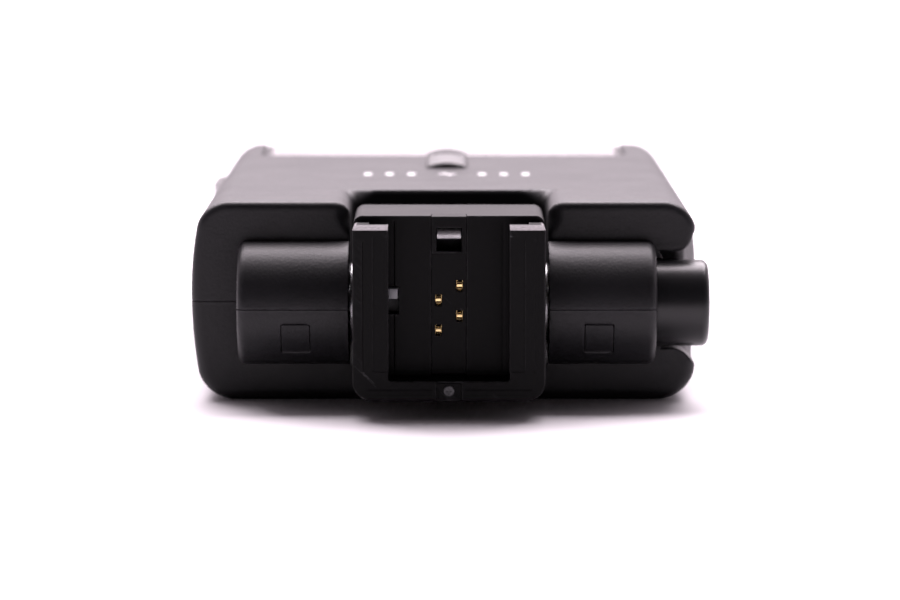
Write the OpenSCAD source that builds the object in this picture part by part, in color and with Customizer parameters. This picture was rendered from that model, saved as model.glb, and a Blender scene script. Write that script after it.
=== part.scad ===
// Compact shoe-mount wireless flash trigger with a fold-flat locking foot.
// Millimetres. Origin on the foot's seat face, level with the casing's parting
// plane. +X along the hinge barrel, +Y away from the foot, +Z out of the light
// window. The casing lies on its back face. "Near" is the foot end, low Y, and
// "far" the head end; left is -X and right is +X.

/* [Casing] */
// Width of the casing at its widest, across the bulged sides
body_w = 61.7; // [61.5:0.1:61.9]
// Height from the parting plane up to the face that holds the window
top_z = 12.1; // [12.0:0.05:12.2]
// Depth from the parting plane down to the back face
back_z = 12.0; // [11.9:0.05:12.2]
// Whole length, foot face to far end
total_len = 113; // [112.5:0.1:115]
// Sideways offset of the casing's middle from the foot's middle
body_x = -0.35; // [-0.4:0.05:-0.3]
// Wall of the casing shells
wall = 1.8; // [1.7:0.05:1.9]
// Radius of the bulge of the side walls
bulge_r = 45; // [42:1:48]

/* [Foot and hinge] */
// Width of the foot
foot_w = 22.6; // [22.4:0.05:22.7]
// Top of the foot block above the hinge axis
foot_top = 11.6; // [11.5:0.05:11.7]
// Bottom of the foot below the hinge axis
foot_bot = 9.8; // [9.6:0.05:9.9]
// Depth of the rails in front of the seat
rail_d = 4.5; // [4.3:0.05:4.7]
// Gap between the lips of the rails
lip_gap = 14.2; // [14.0:0.05:14.4]
// Width of the channel behind the lips
channel_w = 18.8; // [18.6:0.05:19.0]
// Distance from the seat back to the hinge axis
hinge_y = 10.5; // [10.4:0.05:10.6]
// Radius of the hinge barrel
barrel_r = 7.4; // [7.35:0.01:7.45]
// Radius of the hinge stub axles
axle_r = 2.0; // [1.9:0.05:2.1]
// Radius of the release button
button_r = 5.2; // [5.0:0.05:5.25]

/* [Head] */
// Left edge of the head opening
head_x0 = -25.7; // [-25.8:0.05:-25.6]
// Right edge of the head opening
head_x1 = 24.2; // [24.1:0.05:24.3]
// Near edge of the head opening
head_y0 = 77.9; // [77.7:0.1:78.0]
// Distance of the tilt axis along the casing
tilt_y = 100.8; // [100.7:0.05:100.9]
// Height of the tilt axis
tilt_z = 8.6; // [8.5:0.05:8.7]

/* [Hidden] */

eps = 0.01;
near_y = hinge_y + 0.9;
far_y = total_len - rail_d;
half_w = body_w / 2;
left_x = body_x - half_w;
foot_hw = foot_w / 2;
gap_hw = foot_hw + 0.65;  // half width of the notch between the knuckles
barrel_x = [-25.3, 24.8];
hinge_at = [hinge_y, 0];
head_x = [head_x0, head_x1];
tilt_at = [tilt_y, tilt_z];
case_screws = [[-17.8, 26, 2.5], [17.8, 26, 2.5], [-23, 74.6, 2.4], [21.8, 74.6, 2.4]];  // x, y, post r
test_at = [0, 90];

// ---- spans, outlines and primitives ----
// A span is [from, to] on one axis. Cutters run well past what they cut.
function about(middle, half) = [middle - half, middle + half];
function grow(span, by) = [span[0] - by, span[1] + by];
function reversed(list) = [for (i = [len(list) - 1:-1:0]) list[i]];
function arc(cx, cy, r, a0, a1, n) =
  [for (i = [0:n]) let (a = a0 + (a1 - a0) * i / n) [cx + r * cos(a), cy + r * sin(a)]];
// rectangle with its own radius at each corner, anticlockwise from low x, low y
function rounded(x, y, r) = concat(
  arc(x[0] + r[0], y[0] + r[0], r[0], 180, 270, 6),
  arc(x[1] - r[1], y[0] + r[1], r[1], 270, 360, 6),
  arc(x[1] - r[2], y[1] - r[2], r[2], 0, 90, 6),
  arc(x[0] + r[3], y[1] - r[3], r[3], 90, 180, 6));

// prisms along an axis: profiles are drawn in YZ, XZ and XY
module along_x(x) translate([x[0], 0, 0]) rotate([90, 0, 90]) linear_extrude(x[1] - x[0]) children();
module along_y(y) translate([0, y[1], 0]) rotate([90, 0, 0]) linear_extrude(y[1] - y[0]) children();
module along_z(z) translate([0, 0, z[0]]) linear_extrude(z[1] - z[0]) children();
// rods along an axis, placed by their other two coordinates
module rod_x(x, r, at)
  translate([x[0], at[0], at[1]]) rotate([0, 90, 0]) cylinder(r = r, h = x[1] - x[0], $fn = 64);
module rod_y(y, r, at)
  translate([at[0], y[0], at[1]]) rotate([-90, 0, 0]) cylinder(r = r, h = y[1] - y[0], $fn = 48);
module rod_z(z, r, at) translate([at[0], at[1], z[0]]) cylinder(r = r, h = z[1] - z[0], $fn = 48);
module rods_z(z, r, places) for (at = places) rod_z(z, r, at);
module block(x, y, z)
  translate([x[0], y[0], z[0]]) cube([x[1] - x[0], y[1] - y[0], z[1] - z[0]]);

// wire coil about its own Z axis; steps per turn, sides of the wire
module coil(r, wire, length, turns, steps = 14, sides = 6) {
  n = ceil(turns * steps);
  points = [for (i = [0:n]) let (a = 360 * i / steps, z = wire + (length - 2 * wire) * i / n)
    for (k = [0:sides - 1]) let (b = 360 * k / sides, ring_r = r + wire * cos(b))
      [ring_r * cos(a), ring_r * sin(a), z + wire * sin(b)]];
  faces = concat(
    [[for (k = [0:sides - 1]) k]],
    [for (i = [0:n - 1]) for (k = [0:sides - 1])
      let (next = (k + 1) % sides) [i * sides + next, i * sides + k, (i + 1) * sides + k]],
    [for (i = [0:n - 1]) for (k = [0:sides - 1])
      let (next = (k + 1) % sides) [i * sides + next, (i + 1) * sides + k, (i + 1) * sides + next]],
    [[for (k = [sides - 1:-1:0]) n * sides + k]]);
  polyhedron(points, faces, convexity = 6);
}

// ---- casing ----
back_corner_r = 3.6;
// half width at height z, widest at z = 1
function bulge_x(z) = half_w - (z - 1) * (z - 1) / (2 * bulge_r);
// cross-section in X and Z, shrunk by inset
function section(inset) =
  let (top_r = max(3.2 - inset, 0.4),
       back_r = back_corner_r - inset,
       top_cz = top_z - inset - top_r,
       back_cz = -(back_z - back_corner_r),
       meet = asin(top_cz / bulge_r) - 0.5,  // angle where the top corner meets the bulge
       meet_z = top_cz + top_r * sin(meet),
       meet_x = bulge_x(meet_z) - inset,
       right = concat(
         arc(meet_x - top_r * cos(meet), top_cz, top_r, 90, meet, 7),
         [for (i = [1:5]) let (z = meet_z + (back_cz - meet_z) * i / 6) [bulge_x(z) - inset, z]],
         arc(bulge_x(back_cz) - inset - back_r, back_cz, back_r, 0, -90, 9)))
  concat(right, [for (p = reversed(right)) [-p[0], p[1]]]);

module casing_outer(inset = 0) {
  y = [near_y + inset, far_y - inset];
  near_r = max(2 - inset, 0.4);
  intersection() {
    translate([body_x, 0, 0]) along_y(y) polygon(section(inset));
    along_x(about(body_x, 40)) polygon(rounded(y, [-back_z + inset, top_z - inset],
      [max(1.3 - inset, 0.5), 5 - inset, 11 - inset, max(1.0 - inset, 0.3)]));
    along_z([-20, 20]) polygon(rounded(about(body_x, half_w - inset), y,
      [near_r, near_r, 5 - inset, 5 - inset]));
  }
}
// main hollow, with a bay either side of the notch
module casing_inner() intersection() {
  casing_outer(wall);
  union() {
    block([-40, 40], [29.2, 120], [-20, 20]);
    block([-40, -15.2], [20, 30], [-20, 20]);
    block([15.2, 25.2], [22.5, 30], [-20, 20]);
  }
}
// space the foot sweeps as it folds, and the notch it folds into
module foot_clearance() {
  flare_r = 1.4;
  flare_x = gap_hw + flare_r;
  flare_z = top_z - flare_r;
  intersection() {
    along_x(about(0, gap_hw + 3)) polygon([[0, -14], [hinge_y + 0.2, -14],
      [hinge_y + 0.2, -3.4], [hinge_y + 12.2, -3.4], [hinge_y + 16.5, top_z],
      [hinge_y + 16.5, 16], [0, 16]]);
    // the notch opens out towards the top face
    along_y([0, hinge_y + 17]) polygon(concat(
      [[-gap_hw, -14]],
      arc(-flare_x, flare_z, flare_r, 0, 90, 6),
      [[-flare_x, 16], [flare_x, 16]],
      arc(flare_x, flare_z, flare_r, 90, 180, 6),
      [[gap_hw, -14]]));
  }
  rod_x(about(0, gap_hw), barrel_r + 0.3, hinge_at);
}
// scoop round the release button, clear of the barrel
module button_scoop() difference() {
  intersection() {
    along_z([-20, 20]) polygon([[24.8, 0], [24.8, 16.4], [28.2, 16.4], [29.2, 17.2],
      [29.8, 18.6], [30.6, 22.0], [40, 22.0], [40, 0]]);
    along_y([0, 30]) polygon([[20, -5.65], [28.0, -5.65], [32.0, -9.9], [40, -9.9],
      [40, 12], [31.5, 12], [28.6, 6.2], [20, 6.2]]);
  }
  rod_x([20, barrel_x[1]], barrel_r, hinge_at);
}
module barrel_knuckles()
  for (x = [[barrel_x[0], -gap_hw], [gap_hw, barrel_x[1]]]) rod_x(x, barrel_r, hinge_at);
// axle bores, cable passage and button bore
module barrel_bores() {
  for (x = [[-20.4, -gap_hw + 1], [gap_hw - 1, 17]]) rod_x(x, axle_r + 0.04, hinge_at);
  rod_x([-22.9, -20], 1.4, hinge_at);
  rod_y([hinge_y, 24], 1.4, [cable_x, 0]);
  rod_x([16.8, 26], button_r + 0.08, hinge_at);
}
module plug_pockets(gap) for (x = [-20.0, 16.2])
  block(grow([x, x + 3.4], gap), [0, hinge_y - 5.05], grow([-6.6, -1.8], gap));
module screw_posts() for (post = case_screws) rod_z([-back_z + 1, top_z - 1], post[2], post);
module tilt_bosses()
  for (x = [[-26.9, head_x0 - 0.02], [head_x1 + 0.02, 25.4]]) block(x, [97.6, 103.8], [5, top_z]);

module casing_shell() difference() {
  union() {
    difference() { casing_outer(); casing_inner(); }
    barrel_knuckles();
    intersection() {
      casing_outer();
      union() { screw_posts(); tilt_bosses(); }
    }
  }
  foot_clearance();
  button_scoop();
  barrel_bores();
  plug_pockets(0.05);
  // screw holes and head recesses
  rods_z([-back_z - 1, 7], 0.95, case_screws);
  rods_z([-back_z - 1, -back_z + 1.3], 2.05, case_screws);
  // battery door opening and hinge pin hole
  block([-40, left_x + 5], door_y, [-10.4, door_pin[1] + 1.15]);
  rod_y(grow(door_y, 1.6), 0.5, door_pin);
  // head opening and tilt pin holes
  block(head_x, [head_y0, 104.5], [0, 20]);
  rod_x(grow(head_x, 3), 0.95, tilt_at);
  // zoom lever slot
  block(about(lever_x, 1.0), [58.8, 67], [9, 20]);
  // bounce knob recess and the slot through it
  block([-40, left_x + 1.0], [65.2, 90.3], [2.8, 8.4]);
  block([-40, -28], [76.4, 86.1], [4.9, 6.7]);
  // test button hole
  rod_z([-14, -9], 2.6, test_at);
}
// shell half on the +Z side of the parting plane
module front_casing() color([0.07, 0.07, 0.075]) intersection() {
  casing_shell();
  block([-50, 50], [-10, 130], [0.02, 30]);
}
// shell half on the -Z side
module rear_casing() color([0.075, 0.075, 0.08]) intersection() {
  casing_shell();
  block([-50, 50], [-10, 130], [-30, -0.02]);
}
// flush covers over the assembly pockets at the near side of the barrel
module knuckle_plugs() color([0.08, 0.08, 0.085]) intersection() {
  plug_pockets(0);
  rod_x(barrel_x, barrel_r, hinge_at);
}
module casing_screws() color([0.2, 0.2, 0.22]) difference() {
  union() {
    rods_z([-back_z + 0.3, -back_z + 1.3], 1.9, case_screws);
    rods_z([-back_z + 0.3, 6], 0.9, case_screws);
  }
  // cross recess
  for (at = case_screws) for (a = [0, 90])
    translate([at[0], at[1], -back_z + 0.2]) rotate(a) cube([2.0, 0.4, 1.2], center = true);
}

// ---- battery bay ----
door_pin = [left_x + 1.0, 1.2];  // x, z
door_y = [30.6, 55.6];
cell_y = [37.3, 48.7];
cell_z = -4.25;
cell_len = 43.4;
plate_x = 19.05;
control_screws = [[-22, 43.5], [19.5, 43.5]];

module battery_door() color([0.075, 0.075, 0.08]) difference() {
  union() {
    intersection() {
      difference() { casing_outer(); casing_outer(1.7); }
      union() {
        block([-40, left_x + 5], grow(door_y, -0.15), [-10.25, door_pin[1]]);
        rod_y(grow(door_y, -0.15), 0.93, door_pin);
      }
    }
    // ribs that carry the contact
    intersection() {
      casing_outer(0.6);
      for (y = [36, 48]) block([-32, -28.5], [y, y + 2], [-5.6, -2.6]);
    }
  }
  rod_y(grow(door_y, 1), 0.55, door_pin);
}
module door_hinge_pin() color("silver") rod_y(grow(door_y, 1.5), 0.5, door_pin);
// strip with a stud for each cell
module door_contact() color("gold") {
  block([-28.5, -28.2], [33.5, 52.5], [-5.6, -2.8]);
  for (y = cell_y) rod_x([-28.25, -25.5], 1.3, [y, -4.2]);
}
module battery_cradle() color([0.1, 0.1, 0.1]) difference() {
  union() {
    intersection() {
      block([-25.6, 22.9], [30.6, 55.4], [-back_z + wall, 2.3]);
      casing_outer(wall + 0.1);
    }
    rods_z([2.0, 3.6], 1.7, control_screws);
  }
  rods_z([1.9, 4], 0.94, control_screws);
  rod_x([-29, 19.4], 5.35, [cell_y[0], cell_z]);
  rod_x([-29, 22.0], 5.35, [cell_y[1], cell_z]);
  block([-29, 19.4], [36.5, 49.5], [-3.2, 0.6]);
}
// two cells head to tail: the near one has its nub on the right
module battery_cells() color([0.35, 0.36, 0.38]) for (i = [0, 1]) {
  x = [-25.4, -24.4][i];
  at = [cell_y[i], cell_z];
  rod_x([x, x + cell_len], 5.2, at);
  rod_x(i == 0 ? [x + cell_len - 0.1, x + cell_len + 1] : [x - 1, x + 0.1], 1.9, at);
}
module battery_springs() color("silver")
  translate([plate_x, cell_y[1], cell_z]) rotate([0, 90, 0])
    coil(r = 2.6, wire = 0.3, length = 2.55, turns = 3);
module battery_plates() color("gold") {
  block([plate_x, 19.38], about(cell_y[0], 3.4), about(cell_z, 2.5));
  block([21.63, 21.98], about(cell_y[1], 3.4), about(cell_z, 2.5));
}

// ---- electronics ----
control_top = 4.6;
main_top = -7.3;
main_screws = [[-22.5, 92], [21.3, 92]];
cable_x = -21.5;
cable_y = 28.4;
cable_z = 6.2;
cable_r = 1.0;

module control_board() color([0.05, 0.28, 0.12]) difference() {
  block([-25, 22.5], [31, 56], [3.6, control_top]);
  rods_z([3, 6], 1.0, control_screws);
}
module control_chips() color([0.09, 0.09, 0.1]) {
  // x span, y span, top
  chips = [[[-12, -4], [38, 46], 5.8], [[2, 8], [34, 38], 5.6],
    [[4, 12], [44, 50], 6.2], [[-20, -17], [34, 40], 5.4]];
  for (chip = chips) block(chip[0], chip[1], [control_top, chip[2]]);
  // row of small parts
  for (i = [0:5]) block([-14 + 3 * i, -12.4 + 3 * i], [50, 50.8], [control_top, 5.2]);
}
module power_switch() color([0.12, 0.12, 0.13]) {
  block([13, 19], [31.2, 35.0], [control_top, 8.0]);
  block([14.2, 15.2], [29.9, 31.2], [5.4, 6.4]);
}
// runs from the foot through the left knuckle and up to the control board
module shoe_cable() color([0.15, 0.15, 0.16]) {
  rod_x([cable_x, -8.6], cable_r, hinge_at);
  rod_y([hinge_y, cable_y], cable_r, [cable_x, 0]);
  rod_z([0, cable_z], cable_r, [cable_x, cable_y]);
  rod_y([cable_y, 33], cable_r, [cable_x, cable_z]);
  for (bend = [[hinge_y, 0], [cable_y, 0], [cable_y, cable_z]])
    translate([cable_x, bend[0], bend[1]]) sphere(r = cable_r, $fn = 32);
}
module main_board() color([0.05, 0.28, 0.12]) difference() {
  block([-26, 24.8], [79, 104], [-8.4, main_top]);
  rods_z([-9, -6], 1.0, main_screws);
}
module board_parts() color([0.12, 0.12, 0.13]) {
  rod_z([main_top, -3.4], 3, [-14, 86]);
  rod_z([main_top, -4.2], 2, [-6, 84]);
  block([2, 9], [83, 90], [main_top, -5.1]);
  block([12, 18], [94, 100], [main_top, -4.6]);
  block([-18, -8], [95, 101], [main_top, -5.2]);
}
module board_screws() color("silver") {
  rods_z([main_top, -6.5], 1.7, main_screws);
  rods_z([-9.8, -6.9], 0.9, main_screws);
  rods_z([control_top, 5.4], 1.7, control_screws);
  rods_z([2.2, 5.0], 0.9, control_screws);
}
// can with a groove near its right end
module flash_capacitor() color([0.06, 0.07, 0.12]) {
  at = [64.2, -4.15];
  difference() {
    rod_x([-22.1, 10.4], 5.8, at);
    difference() {
      rod_x([8.2, 9.2], 6.5, at);
      rod_x([8.1, 9.3], 5.4, at);
    }
  }
}
module inverter_transformer() color([0.3, 0.16, 0.07]) {
  for (y = [58.6, 68.6]) block([11, 21], [y, y + 1.6], [-9.9, -1.5]);
  rod_y([60.2, 68.6], 3.9, [16, -5.7]);
}
// push button in the back face, with an inner flange
module test_button() color([0.6, 0.35, 0.15]) {
  rod_z([-back_z + 0.3, -9.9], 2.5, test_at);
  rod_z([-10.15, -9.7], 3.2, test_at);
}
module test_switch() color([0.1, 0.1, 0.1]) {
  block([-2, 2], [88, 92], [-9.35, -8.4]);
  rod_z([-9.4, -9.3], 1.2, test_at);
}
module trigger_coil() color([0.35, 0.2, 0.08]) rod_x([-3, 5], 2.2, [97.5, -4.9]);

// ---- tilting head ----
tilt_r = 3.3;
head_bottom = -1.7;
head_top = tilt_z + tilt_r;
head_r = sqrt(pow(tilt_y - 78.3, 2) + pow(tilt_r, 2));  // swing of the near top edge
win_y = [79.6, tilt_y + 0.2];
cam_pin = [93, 4];  // y, z
refl_y = 90.9;
refl_half = 8.6;
refl_floor = 0.4;
tube_at = [refl_y, 2.7];

module head_solid() {
  x = grow(head_x, -0.25);
  intersection() {
    union() {
      intersection() {
        rod_x(x, head_r, tilt_at);
        along_x(x) polygon([[70, head_bottom], [101.4, head_bottom],
          [tilt_y, head_top], [70, head_top]]);
      }
      rod_x(x, tilt_r, tilt_at);
    }
    block([-60, 60], [60, 120], [head_bottom, head_top]);
    casing_outer(0.2);
  }
}
module head_frame() color([0.06, 0.06, 0.065]) difference() {
  union() {
    head_solid();
    rod_x([-27.7, head_x0 + 1.0], 0.7, cam_pin);
  }
  block(grow(head_x, -1.5), [81.6, 100.2], [-0.5, 10.5]);
  block(grow(head_x, -0.9), win_y, [10.35, 20]);
  for (x = [[head_x0 - 1, head_x0 + 1.2], [head_x1 - 1.2, head_x1 + 1]]) rod_x(x, 0.9, tilt_at);
}
// window with grooves across its inner face
module flash_window() color([0.9, 0.93, 0.95]) difference() {
  intersection() {
    block(grow(head_x, -0.95), grow(win_y, -0.05), [10.4, head_top]);
    casing_outer(0.2);
  }
  for (i = [-10:10]) block(about(body_x - 0.3 + i * 2.2, 0.12), grow(win_y, -1), [10.3, 10.7]);
}
module tilt_pins() color("silver")
  for (x = [[-26.85, head_x0 + 1.15], [head_x1 - 1.15, 25.35]]) rod_x(x, 0.9, tilt_at);
// bowl curve in Y and Z, moved inwards by inset and rising by depth
function bowl(inset, depth) = [for (i = [0:14]) let (u = -1 + 2 * i / 14)
  [refl_y + u * (refl_half - inset), refl_floor + inset + depth * pow(abs(u), 1.7)]];
module reflector() color([0.92, 0.92, 0.93]) difference() {
  along_x([-22.5, 21.0]) polygon(concat(bowl(0, 6.8), reversed(bowl(0.4, 6.9))));
  block([-60, 60], [60, 120], [7.2, 20]);
}
module flash_tube() color([0.85, 0.9, 0.95]) rod_x([-22.6, 21.1], 1.4, tube_at);
module tube_sleeves() color([0.7, 0.7, 0.68])
  for (x = [-24.0, 21.1]) rod_x([x, x + 1.4], 2.0, tube_at);

// ---- sliders ----
lever_x = -0.3;
cam_x = [-27.5, -27.1];
// corners of the cam's track in Y and Z
cam_track = [cam_pin, [95.075, 6.176], [97.745, 8.516]];
// slope and length of each stretch between them
cam_runs = [[46.354, 3.007], [41.235, 3.55]];
cam_slot_r = 0.86;

module lever_peg(top) block(about(lever_x, 0.85), [59.0, 61.7], [9.6, top]);
// thumb piece of the zoom slider, a ramp with a domed top
module zoom_lever() color([0.2, 0.2, 0.21]) {
  intersection() {
    along_x(about(lever_x, 2.7)) polygon(concat(
      [[57.2, top_z + 0.05], [57.2, top_z + 0.6]],
      [for (i = [0:6]) let (t = i / 6) [58.0 + 5.6 * t, top_z + 0.75 + 1.25 * sin(90 * t)]],
      [[65.0, top_z + 1.8], [66.2, top_z + 0.7], [66.2, top_z + 0.05]]));
    translate([lever_x, 0, top_z - 4.9]) rotate([-90, 0, 0]) cylinder(r = 7, h = 100, $fn = 96);
  }
  lever_peg(top_z + 0.1);
}
module zoom_slide() color([0.15, 0.15, 0.16]) difference() {
  block(about(lever_x, 4), [53.6, 71.8], [8.9, top_z - wall - 0.1]);
  lever_peg(12);
}
// ribbed side knob with a tongue through the casing wall
module bounce_knob() color([0.13, 0.13, 0.14]) {
  difference() {
    along_z([3.0, 8.2]) polygon([[left_x + 0.95, 71.3], [left_x + 0.05, 71.3],
      [left_x - 1.15, 79.0], [left_x - 1.3, 80.5], [left_x - 1.3, 88.6],
      [left_x - 0.9, 89.9], [left_x + 0.95, 89.9]]);
    for (i = [0:4]) block([-40, left_x - 0.85], [80.6 + 1.6 * i, 81.2 + 1.6 * i], [3.5, 7.7]);
  }
  block([left_x + 0.9, -27.55], [82.6, 85.9], [5.0, 6.6]);
}
// plate with a bent slot for the head's pin
module bounce_cam() color([0.5, 0.5, 0.52]) difference() {
  union() {
    block(cam_x, [81.5, 90.5], [3.2, 8.4]);
    block(cam_x, [90.4, 99.6], [2.6, 9.9]);
  }
  for (at = cam_track) rod_x([-29, -26], cam_slot_r, at);
  for (i = [0, 1])
    translate([-29, cam_track[i][0], cam_track[i][1]]) rotate([cam_runs[i][0], 0, 0])
      translate([0, 0, -cam_slot_r]) cube([3, cam_runs[i][1], 2 * cam_slot_r]);
}

// ---- foot ----
rail_floor = -foot_bot + 2.35;
rail_top = foot_top - 0.75;
lead_z = foot_top - 1.3;
frame_screw_at = [0, -8.62];
cavity_x = [-8.4, 8.2];
pin_at = [[-1.245, 1.6], [-1.245, -2.0], [1.245, 3.3], [1.245, -0.3]];  // x, z

module foot_outline()
  polygon(rounded([-foot_hw, foot_hw], [-foot_bot + 0.1, foot_top], [2.1, 2.1, 1.2, 1.2]));
module foot_solid() {
  along_y([0, hinge_y - 1]) foot_outline();
  intersection() {
    along_y([0, hinge_y + 3]) foot_outline();
    block([-20, 20], [5, hinge_y + 3], [0, 20]);
  }
  rod_x([-foot_hw, foot_hw], barrel_r - 0.1, hinge_at);
}
module foot_cavity() {
  block(cavity_x, [1.7, hinge_y + eps], [-5.2, 10.3]);
  block(cavity_x, [hinge_y - eps, hinge_y + 0.5], [-4.5, 10.3]);
  intersection() {
    rod_x(cavity_x, barrel_r - 1.6, hinge_at);
    block([-10, 10], [hinge_y - 2, 30], [-20, 20]);
  }
}
// everything on the far side of the hinge axis
module beyond_hinge() block([-20, 20], [hinge_y + eps, 30], [-20, 20]);
module foot_block() color([0.05, 0.05, 0.055]) difference() {
  foot_solid();
  beyond_hinge();
  foot_cavity();
  // openings for the contact block and the detect pin
  block(about(0, 2.07), [-1, 1.75], [rail_floor, 20]);
  block([-7.25, -5.95], [-1, 2], [-0.1, 3.15]);
  rod_x([-20, 20], axle_r, hinge_at);
  rod_y([-1, 4], 0.35, frame_screw_at);
}
module foot_rear_cover() color([0.06, 0.06, 0.065]) difference() {
  intersection() { foot_solid(); beyond_hinge(); }
  foot_cavity();
  rod_x([-20, 20], axle_r, hinge_at);
}
module rail_frame() color([0.045, 0.045, 0.05]) difference() {
  along_y([-rail_d, -0.01])
    polygon(rounded([-foot_hw, foot_hw], [-foot_bot, rail_top], [2.2, 2.2, 0.7, 0.7]));
  block(about(0, lip_gap / 2), [-10, 1], [rail_floor, 20]);
  block(about(0, channel_w / 2), [-2.6, 1], [rail_floor, 20]);
  // lead-in at the open end
  along_x([-20, 20]) polygon([[-rail_d - 1, lead_z - 0.55], [-rail_d, lead_z],
    [-rail_d + 1.0, rail_top], [-rail_d + 1.0, foot_top + 1], [-rail_d - 1, foot_top + 1]]);
  // recess for the fixing screw
  block([-1.5, 1.5], [-10, -rail_d + 0.4], [-20, -foot_bot + 2.2]);
  rod_y([-rail_d - 1, 1], 0.4, frame_screw_at);
  // shallow step on the face of each rail
  for (x = [[-8.9, -lip_gap / 2 + 1], [lip_gap / 2 - 1, 8.9]])
    block(x, [-10, -rail_d + 0.12], [rail_floor, foot_top - 2.1]);
}
module frame_screw() color([0.3, 0.3, 0.32]) difference() {
  union() {
    rod_y([-rail_d + 0.1, -rail_d + 0.4], 0.62, frame_screw_at);
    rod_y([-rail_d + 0.1, 3.2], 0.34, frame_screw_at);
  }
  for (slot = [[0.8, 0.2, 0.16], [0.16, 0.2, 0.8]])
    translate([0, -rail_d + 0.1, frame_screw_at[1]]) cube(slot, center = true);
}
module at_pins() for (pin = pin_at) translate([pin[0], 0, pin[1]]) children();
module contact_block() color([0.05, 0.05, 0.055]) difference() {
  block([-2.05, 2.05], [-0.15, 1.7], [-foot_bot + 2.4, foot_top]);
  at_pins() block(about(0, 0.36), [-1, 3], about(0, 0.66));
  block([-1.5, 1.5], [-1, 3], [7.35, 10.2]);
}
// round-nosed pins, each with a collar and a tail
module contact_pins() color("gold") at_pins() {
  intersection() {
    block(about(0, 0.3), [-0.75, 1.78], about(0, 0.6));
    union() {
      rod_x([-1, 1], 0.62, [-0.14, 0]);
      block([-1, 1], [-0.14, 3], [-1, 1]);
    }
  }
  block(about(0, 0.5), [1.78, 2.3], about(0, 0.85));
  block(about(0, 0.3), [2.3, 3.4], about(0, 0.4));
}
module contact_leaves() color([0.75, 0.6, 0.25])
  at_pins() block(about(0, 0.4), [4.15, 4.35], about(0, 0.8));
module contact_carrier() color([0.1, 0.25, 0.12]) block([-3, 3], [4.36, 5.1], [-4.2, 5.2]);
module detect_pin() color([0.55, 0.55, 0.58]) {
  block([-7.15, -6.05], [-1.0, 1.78], [1.85, 3.05]);
  block([-7.5, -5.7], [1.78, 2.4], [1.6, 3.4]);
}
module detect_switch() color([0.15, 0.15, 0.16]) difference() {
  block([-8.3, -4.6], [2.0, 6.0], [-2.4, 4.4]);
  block([-7.6, -5.6], [1.9, 3.4], [1.5, 3.5]);
}
// tooth through the seat, crossbar behind it and an arm down to the hinge axis
module lock_tooth() color([0.75, 0.75, 0.77]) {
  arm_x = [-2.4, 1.0];
  along_x([-1.4, 1.4]) polygon([[-1.45, 9.0], [-1.45, 9.1], [-0.1, 10.1], [5.2, 9.75],
    [5.2, 8.6], [4.0, 8.6], [4.0, 9.0]]);
  block([-3.6, 6.6], [4.0, 5.2], [7.3, 8.75]);
  block(arm_x, [5.3, 6.4], [2.8, 8.4]);
  block(arm_x, [5.1, 5.4], [6.4, 8.4]);
  block(arm_x, [5.3, 13.0], [2.8, 3.8]);
  block(arm_x, [11.65, 13.0], [-0.9, 3.0]);
}
module lock_spring() color("silver") translate([5.3, 5.25, 8.0]) rotate([-90, 0, 0])
  coil(r = 0.75, wire = 0.18, length = 5.7, turns = 7, steps = 10, sides = 5);
module hinge_axles() color("silver") for (x = [[-20, -8.5], [8.3, 16.6]]) difference() {
  rod_x(x, axle_r, hinge_at);
  rod_x(grow(x, 0.5), 1.2, hinge_at);
}
module hinge_washers() color([0.6, 0.6, 0.62])
  for (x = [-foot_hw - 0.55, foot_hw + 0.1]) difference() {
    rod_x([x, x + 0.45], 4.8, hinge_at);
    rod_x(about(x, 1), axle_r + 0.01, hinge_at);
  }
// hollow cup with a rounded rim and a slightly crowned face
module release_button() color([0.07, 0.07, 0.075]) {
  crown_r = button_r - 0.8;
  rim_x = 10.75;
  translate([19.7, hinge_y, 0]) rotate([0, 90, 0]) rotate_extrude($fn = 96) polygon(concat(
    [[1.15, 9.5], [4.2, 9.5], [4.2, 0], [button_r, 0], [button_r, rim_x]],
    [for (i = [1:4]) [crown_r + 0.8 * cos(22.5 * i), rim_x + 0.7 * sin(22.5 * i)]],
    [for (i = [1:5]) let (t = 1 - i / 5) [crown_r * t, rim_x + 0.7 + 0.25 * (1 - t * t)]],
    [[0, 9.7], [1.15, 9.7]]));
}
// rod on the hinge axis, with a cone near its left end
module release_rod() color("silver") rotate([0, 90, 0]) translate([0, hinge_y, 0])
  rotate_extrude($fn = 64) polygon([[0, -4.6], [0.9, -4.6], [1.1, -4.2], [1.1, 1.0],
    [2.7, 3.5], [2.7, 4.2], [1.1, 4.6], [1.1, 29.2], [0, 29.2]]);
module button_spring() color("silver") translate([17.1, hinge_y, 0]) rotate([0, 90, 0])
  coil(r = 2.6, wire = 0.3, length = 12.0, turns = 6);

front_casing();
rear_casing();
knuckle_plugs();
casing_screws();
battery_door();
door_hinge_pin();
door_contact();
battery_cradle();
battery_cells();
battery_springs();
battery_plates();
control_board();
control_chips();
power_switch();
shoe_cable();
main_board();
board_parts();
board_screws();
flash_capacitor();
inverter_transformer();
trigger_coil();
test_switch();
test_button();
head_frame();
flash_window();
tilt_pins();
reflector();
flash_tube();
tube_sleeves();
zoom_lever();
zoom_slide();
bounce_knob();
bounce_cam();
foot_block();
foot_rear_cover();
rail_frame();
frame_screw();
contact_block();
contact_carrier();
contact_leaves();
hinge_axles();
hinge_washers();
detect_switch();
contact_pins();
detect_pin();
lock_tooth();
lock_spring();
release_button();
release_rod();
button_spring();
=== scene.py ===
import bpy, math
import numpy as np
from mathutils import Vector, Matrix


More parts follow.
